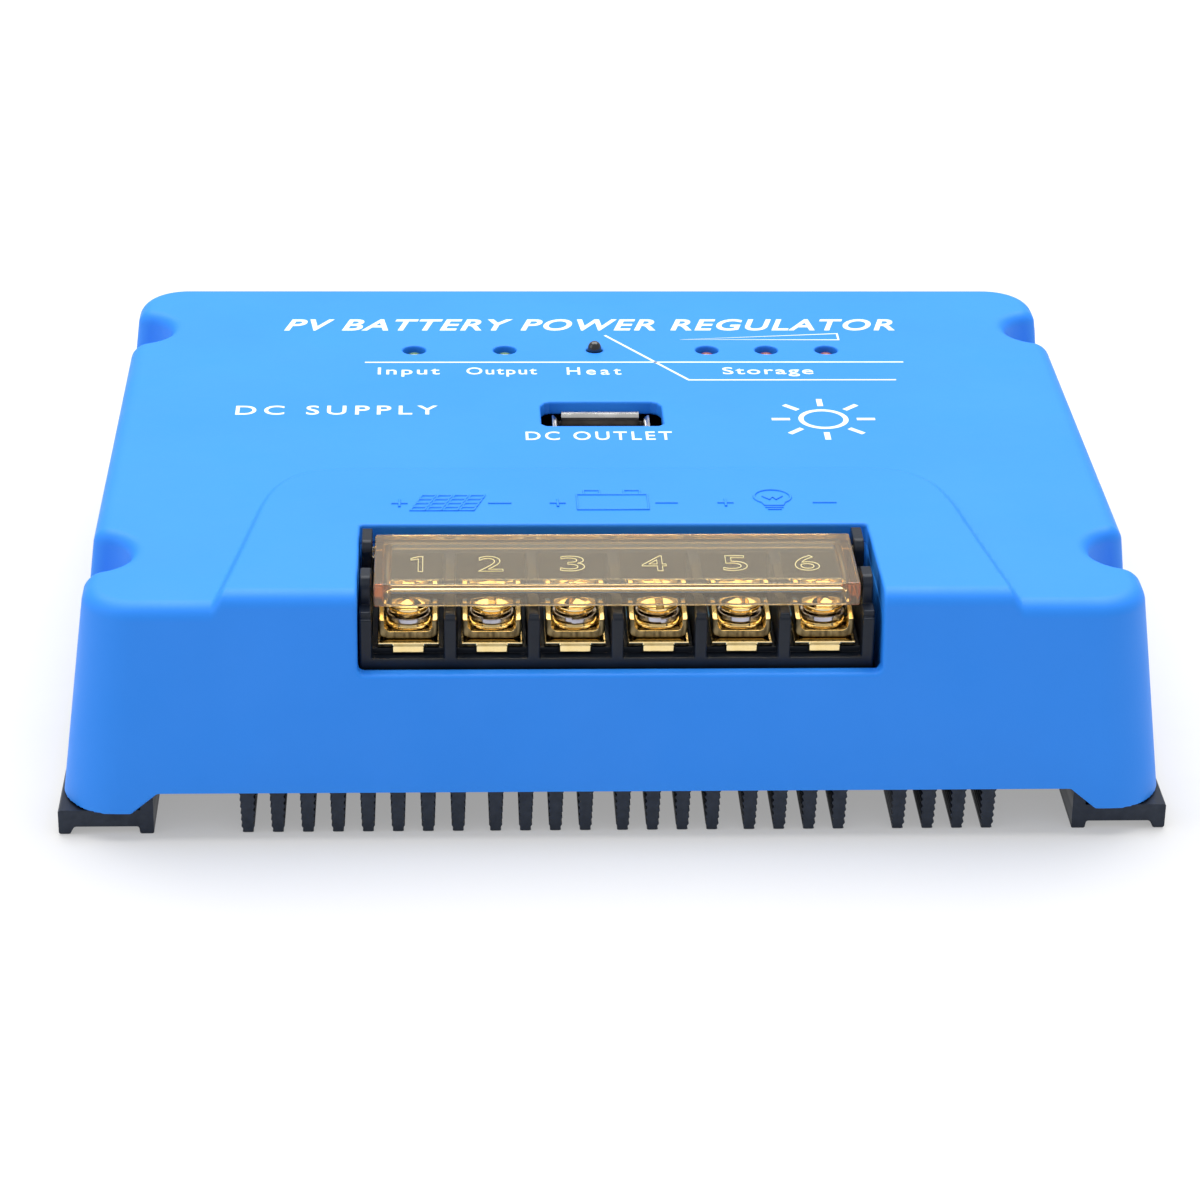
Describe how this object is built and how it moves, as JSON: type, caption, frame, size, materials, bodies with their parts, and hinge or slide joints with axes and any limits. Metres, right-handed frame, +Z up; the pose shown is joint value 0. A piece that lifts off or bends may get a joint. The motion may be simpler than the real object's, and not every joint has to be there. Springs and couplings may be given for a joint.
{
  "type": "charge controller",
  "caption": "Solar charge controller on a finned heat sink: moulded cover, barrier terminal block with a hinged clear lid, clamp screws, USB socket and indicator lamps.",
  "frame": {"origin": "middle of the box, on the plane of the feet", "axes": "+X to the right seen from the terminal side, -Y towards the terminals, +Z up from the feet to the labelled top"},
  "size_m": [0.1484, 0.1228, 0.0347],
  "materials": {
    "cover_blue": "fine moulded satin texture",
    "sink_black": "black anodised, extrusion lines",
    "block_black": "moulded thermoset, satin",
    "lid_amber": "clear amber, polished",
    "contact_brass": "bright passivated plating",
    "fastener_steel": "zinc plated",
    "socket_steel": "tinned sheet",
    "socket_white": "moulded",
    "lamp_green": "tinted epoxy, unlit",
    "lamp_red": "tinted epoxy, unlit",
    "sensor_black": "epoxy bead",
    "board_green": "solder mask",
    "core_yellow": "coated powder core",
    "winding_copper": "enamelled wire",
    "part_black": "moulded package",
    "pad_grey": "silicone sheet",
    "fuse_glass": "clear"
  },
  "bodies": {
    "base": {"top_cover": "cover_blue", "heat_sink": "sink_black", "main_pcb": "board_green", "terminal_block": "block_black", "usb_shell": "socket_steel", "usb_tongue": "socket_white", "led_solar": "lamp_green", "led_load": "lamp_green", "led_battery_1": "lamp_red", "led_battery_2": "lamp_red", "led_battery_3": "lamp_red", "temp_sensor": "sensor_black", "inductor_core": "core_yellow", "inductor_winding": "winding_copper", "capacitor_1": "part_black", "capacitor_2": "part_black", "fuse": "fuse_glass", "control_chip": "part_black", "mosfet_1": "part_black", "mosfet_2": "part_black", "mosfet_3": "part_black", "thermal_pad": "pad_grey", "contact_plate_1": "contact_brass", "contact_plate_2": "contact_brass", "contact_plate_3": "contact_brass", "contact_plate_4": "contact_brass", "contact_plate_5": "contact_brass", "contact_plate_6": "contact_brass", "cover_screw_1": "fastener_steel", "pcb_screw_1": "fastener_steel", "pcb_standoff_1": "fastener_steel", "cover_screw_2": "fastener_steel", "pcb_screw_2": "fastener_steel", "pcb_standoff_2": "fastener_steel", "cover_screw_3": "fastener_steel", "pcb_screw_3": "fastener_steel", "pcb_standoff_3": "fastener_steel", "cover_screw_4": "fastener_steel", "pcb_screw_4": "fastener_steel", "pcb_standoff_4": "fastener_steel"},
    "lid": {"terminal_cover": "lid_amber"},
    "clamp_1": {"clamp_washer_1": "contact_brass", "split_washer_1": "contact_brass"},
    "screw_1": {"terminal_screw_1": "contact_brass"},
    "clamp_2": {"clamp_washer_2": "contact_brass", "split_washer_2": "contact_brass"},
    "screw_2": {"terminal_screw_2": "contact_brass"},
    "clamp_3": {"clamp_washer_3": "contact_brass", "split_washer_3": "contact_brass"},
    "screw_3": {"terminal_screw_3": "contact_brass"},
    "clamp_4": {"clamp_washer_4": "contact_brass", "split_washer_4": "contact_brass"},
    "screw_4": {"terminal_screw_4": "contact_brass"},
    "clamp_5": {"clamp_washer_5": "contact_brass", "split_washer_5": "contact_brass"},
    "screw_5": {"terminal_screw_5": "contact_brass"},
    "clamp_6": {"clamp_washer_6": "contact_brass", "split_washer_6": "contact_brass"},
    "screw_6": {"terminal_screw_6": "contact_brass"}
  },
  "joints": [
    {"name": "lid_hinge", "type": "hinge", "parent": "base", "child": "lid", "pos_m": [0, -0.041, 0.0327], "axis": [-1, 0, 0], "range_deg": [0, 110]},
    {"name": "clamp_1_lift", "type": "slide", "parent": "base", "child": "clamp_1", "axis": [0, 0, 1], "range_m": [0, 0.0014]},
    {"name": "screw_1_turn", "type": "hinge", "parent": "clamp_1", "child": "screw_1", "pos_m": [-0.0275, -0.0505, 0.0293], "axis": [0, 0, 1], "range_deg": [0, 720]},
    {"name": "clamp_2_lift", "type": "slide", "parent": "base", "child": "clamp_2", "axis": [0, 0, 1], "range_m": [0, 0.0014]},
    {"name": "screw_2_turn", "type": "hinge", "parent": "clamp_2", "child": "screw_2", "pos_m": [-0.0165, -0.0505, 0.0293], "axis": [0, 0, 1], "range_deg": [0, 720]},
    {"name": "clamp_3_lift", "type": "slide", "parent": "base", "child": "clamp_3", "axis": [0, 0, 1], "range_m": [0, 0.0014]},
    {"name": "screw_3_turn", "type": "hinge", "parent": "clamp_3", "child": "screw_3", "pos_m": [-0.0055, -0.0505, 0.0293], "axis": [0, 0, 1], "range_deg": [0, 720]},
    {"name": "clamp_4_lift", "type": "slide", "parent": "base", "child": "clamp_4", "axis": [0, 0, 1], "range_m": [0, 0.0014]},
    {"name": "screw_4_turn", "type": "hinge", "parent": "clamp_4", "child": "screw_4", "pos_m": [0.0055, -0.0505, 0.0293], "axis": [0, 0, 1], "range_deg": [0, 720]},
    {"name": "clamp_5_lift", "type": "slide", "parent": "base", "child": "clamp_5", "axis": [0, 0, 1], "range_m": [0, 0.0014]},
    {"name": "screw_5_turn", "type": "hinge", "parent": "clamp_5", "child": "screw_5", "pos_m": [0.0165, -0.0505, 0.0293], "axis": [0, 0, 1], "range_deg": [0, 720]},
    {"name": "clamp_6_lift", "type": "slide", "parent": "base", "child": "clamp_6", "axis": [0, 0, 1], "range_m": [0, 0.0014]},
    {"name": "screw_6_turn", "type": "hinge", "parent": "clamp_6", "child": "screw_6", "pos_m": [0.0275, -0.0505, 0.0293], "axis": [0, 0, 1], "range_deg": [0, 720]}
  ],
  "couplings": [
    {"joint": "screw_1_turn", "follows": "clamp_1_lift", "rad_per_m": 8976},
    {"joint": "screw_2_turn", "follows": "clamp_2_lift", "rad_per_m": 8976},
    {"joint": "screw_3_turn", "follows": "clamp_3_lift", "rad_per_m": 8976},
    {"joint": "screw_4_turn", "follows": "clamp_4_lift", "rad_per_m": 8976},
    {"joint": "screw_5_turn", "follows": "clamp_5_lift", "rad_per_m": 8976},
    {"joint": "screw_6_turn", "follows": "clamp_6_lift", "rad_per_m": 8976}
  ]
}
